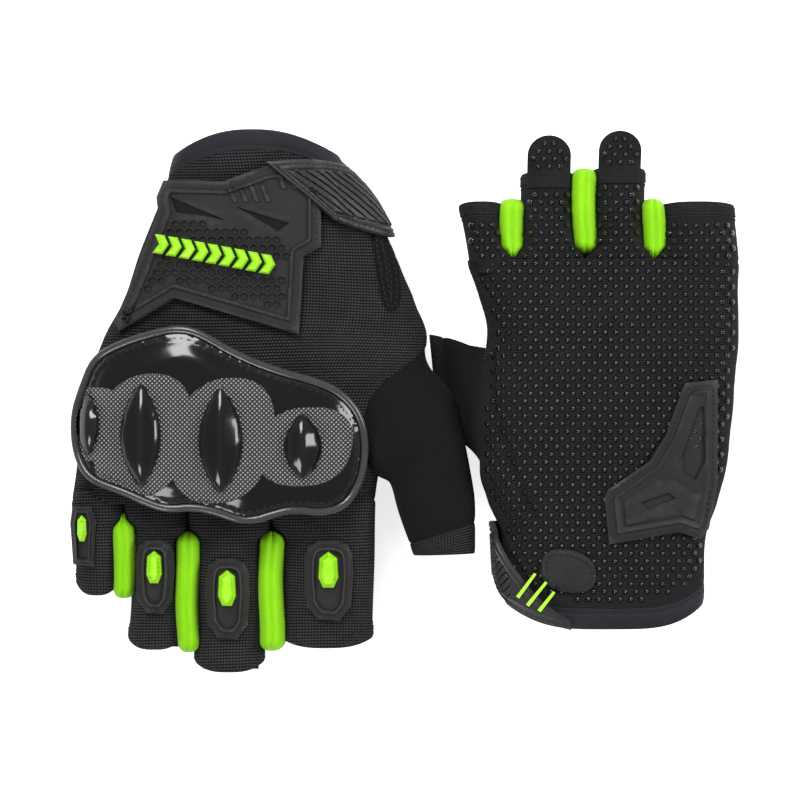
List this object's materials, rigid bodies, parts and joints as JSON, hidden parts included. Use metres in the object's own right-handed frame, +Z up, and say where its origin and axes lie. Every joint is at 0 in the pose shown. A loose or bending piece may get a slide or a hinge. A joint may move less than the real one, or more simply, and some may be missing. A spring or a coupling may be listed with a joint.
{
  "type": "riding gloves",
  "caption": "Half-finger riding gloves with hard knuckle guards, moulded finger pads, palm sliders and wrist straps, lying side by side.",
  "frame": {"origin": "centre of the pair's bounding box, on the table", "axes": "+X from the right-hand glove to the left-hand glove, +Y towards the right glove's cuff, +Z up from the table"},
  "size_m": [0.2214, 0.1792, 0.0453],
  "materials": {
    "knit": "ribbed stretch knit",
    "grip_fabric": "fine knit with glossy grip dots",
    "suede": "brushed microsuede",
    "binding": "smooth neoprene binding",
    "gusset": "bright stretch fabric",
    "trim": "matt moulded thermoplastic rubber",
    "bright": "satin moulded thermoplastic rubber",
    "guard": "gloss hard shell",
    "piping": "gloss piping",
    "foam": "soft foam",
    "loop": "hook-and-loop pile"
  },
  "bodies": {
    "right_hand": {"right_back_panel": "knit", "right_palm_panel": "grip_fabric", "right_cuff_binding": "binding", "right_gusset_little_ring": "gusset", "right_gusset_ring_middle": "gusset", "right_gusset_middle_index": "gusset", "right_knuckle_foam": "foam", "right_knuckle_guard": "guard", "right_knuckle_piping": "piping", "right_wrist_panel": "trim", "right_wrist_emblem": "bright", "right_strap_band": "trim", "right_loop_patch": "loop", "right_palm_slider": "trim"},
    "right_little": {"right_little_stall": "knit", "right_little_pad": "trim", "right_little_insert": "bright"},
    "right_ring": {"right_ring_stall": "knit", "right_ring_pad": "trim", "right_ring_insert": "bright"},
    "right_middle": {"right_middle_stall": "knit", "right_middle_pad": "trim", "right_middle_insert": "bright"},
    "right_index": {"right_index_stall": "knit", "right_index_pad": "trim", "right_index_insert": "bright"},
    "right_thumb": {"right_thumb_stall": "suede"},
    "right_strap": {"right_strap_tab": "trim"},
    "right_ring_pull_tab": {"right_ring_pull_tab": "grip_fabric"},
    "right_middle_pull_tab": {"right_middle_pull_tab": "grip_fabric"},
    "left_hand": {"left_back_panel": "knit", "left_palm_panel": "grip_fabric", "left_cuff_binding": "binding", "left_gusset_little_ring": "gusset", "left_gusset_ring_middle": "gusset", "left_gusset_middle_index": "gusset", "left_knuckle_foam": "foam", "left_knuckle_guard": "guard", "left_knuckle_piping": "piping", "left_wrist_panel": "trim", "left_wrist_emblem": "bright", "left_strap_band": "trim", "left_loop_patch": "loop", "left_palm_slider": "trim"},
    "left_little": {"left_little_stall": "knit", "left_little_pad": "trim", "left_little_insert": "bright"},
    "left_ring": {"left_ring_stall": "knit", "left_ring_pad": "trim", "left_ring_insert": "bright"},
    "left_middle": {"left_middle_stall": "knit", "left_middle_pad": "trim", "left_middle_insert": "bright"},
    "left_index": {"left_index_stall": "knit", "left_index_pad": "trim", "left_index_insert": "bright"},
    "left_thumb": {"left_thumb_stall": "suede"},
    "left_strap": {"left_strap_tab": "trim"},
    "left_ring_pull_tab": {"left_ring_pull_tab": "grip_fabric"},
    "left_middle_pull_tab": {"left_middle_pull_tab": "grip_fabric"}
  },
  "joints": [
    {"name": "left_glove_slide", "type": "slide", "parent": "right_hand", "child": "left_hand", "axis": [1, 0, 0], "range_m": [0, 0.08]},
    {"name": "right_little_flex", "type": "hinge", "parent": "right_hand", "child": "right_little", "pos_m": [-0.10245, -0.0337, 0.0027], "axis": [1, 0, 0], "range_deg": [0, 60], "stiffness_Nm_per_rad": 0.05},
    {"name": "right_ring_flex", "type": "hinge", "parent": "right_hand", "child": "right_ring", "pos_m": [-0.08215, -0.0337, 0.0027], "axis": [1, 0, 0], "range_deg": [0, 60], "stiffness_Nm_per_rad": 0.05},
    {"name": "right_middle_flex", "type": "hinge", "parent": "right_hand", "child": "right_middle", "pos_m": [-0.05775, -0.0337, 0.0027], "axis": [1, 0, 0], "range_deg": [0, 60], "stiffness_Nm_per_rad": 0.05},
    {"name": "right_index_flex", "type": "hinge", "parent": "right_hand", "child": "right_index", "pos_m": [-0.026, -0.0337, 0.0027], "axis": [1, 0, 0], "range_deg": [0, 60], "stiffness_Nm_per_rad": 0.05},
    {"name": "right_thumb_lift", "type": "hinge", "parent": "right_hand", "child": "right_thumb", "pos_m": [-0.01127, -0.0015, 0.0278], "axis": [-0.3631, -0.9317, 0], "range_deg": [0, 35], "stiffness_Nm_per_rad": 0.05},
    {"name": "right_strap_peel", "type": "hinge", "parent": "right_hand", "child": "right_strap", "pos_m": [-0.00688, 0.0658, 0.01287], "axis": [0.5355, -0.8443, -0.0189], "range_deg": [0, 100]},
    {"name": "right_ring_tab_fold", "type": "hinge", "parent": "right_ring", "child": "right_ring_pull_tab", "pos_m": [-0.08215, -0.08225, 0.0031], "axis": [-1, 0, 0], "range_deg": [0, 150]},
    {"name": "right_middle_tab_fold", "type": "hinge", "parent": "right_middle", "child": "right_middle_pull_tab", "pos_m": [-0.05775, -0.08975, 0.0031], "axis": [-1, 0, 0], "range_deg": [0, 150]},
    {"name": "left_little_flex", "type": "hinge", "parent": "left_hand", "child": "left_little", "pos_m": [0.09705, 0.0463, 0.042], "axis": [1, 0, 0], "range_deg": [0, 60], "stiffness_Nm_per_rad": 0.05},
    {"name": "left_ring_flex", "type": "hinge", "parent": "left_hand", "child": "left_ring", "pos_m": [0.07085, 0.0463, 0.042], "axis": [1, 0, 0], "range_deg": [0, 60], "stiffness_Nm_per_rad": 0.05},
    {"name": "left_middle_flex", "type": "hinge", "parent": "left_hand", "child": "left_middle", "pos_m": [0.04765, 0.0463, 0.042], "axis": [1, 0, 0], "range_deg": [0, 60], "stiffness_Nm_per_rad": 0.05},
    {"name": "left_index_flex", "type": "hinge", "parent": "left_hand", "child": "left_index", "pos_m": [0.02635, 0.0463, 0.042], "axis": [1, 0, 0], "range_deg": [0, 60], "stiffness_Nm_per_rad": 0.05},
    {"name": "left_thumb_dip", "type": "hinge", "parent": "left_hand", "child": "left_thumb", "pos_m": [0.02632, -0.00305, 0.0182], "axis": [-0.0861, -0.9963, 0], "range_deg": [0, 6], "stiffness_Nm_per_rad": 0.05},
    {"name": "left_strap_peel", "type": "hinge", "parent": "left_hand", "child": "left_strap", "pos_m": [0.02799, -0.0512, 0.02911], "axis": [0.0727, -0.9971, -0.0236], "range_deg": [0, 90]},
    {"name": "left_ring_tab_fold", "type": "hinge", "parent": "left_ring", "child": "left_ring_pull_tab", "pos_m": [0.07085, 0.07685, 0.041], "axis": [1, 0, 0], "range_deg": [0, 150]},
    {"name": "left_middle_tab_fold", "type": "hinge", "parent": "left_middle", "child": "left_middle_pull_tab", "pos_m": [0.04765, 0.07535, 0.041], "axis": [1, 0, 0], "range_deg": [0, 150]}
  ]
}
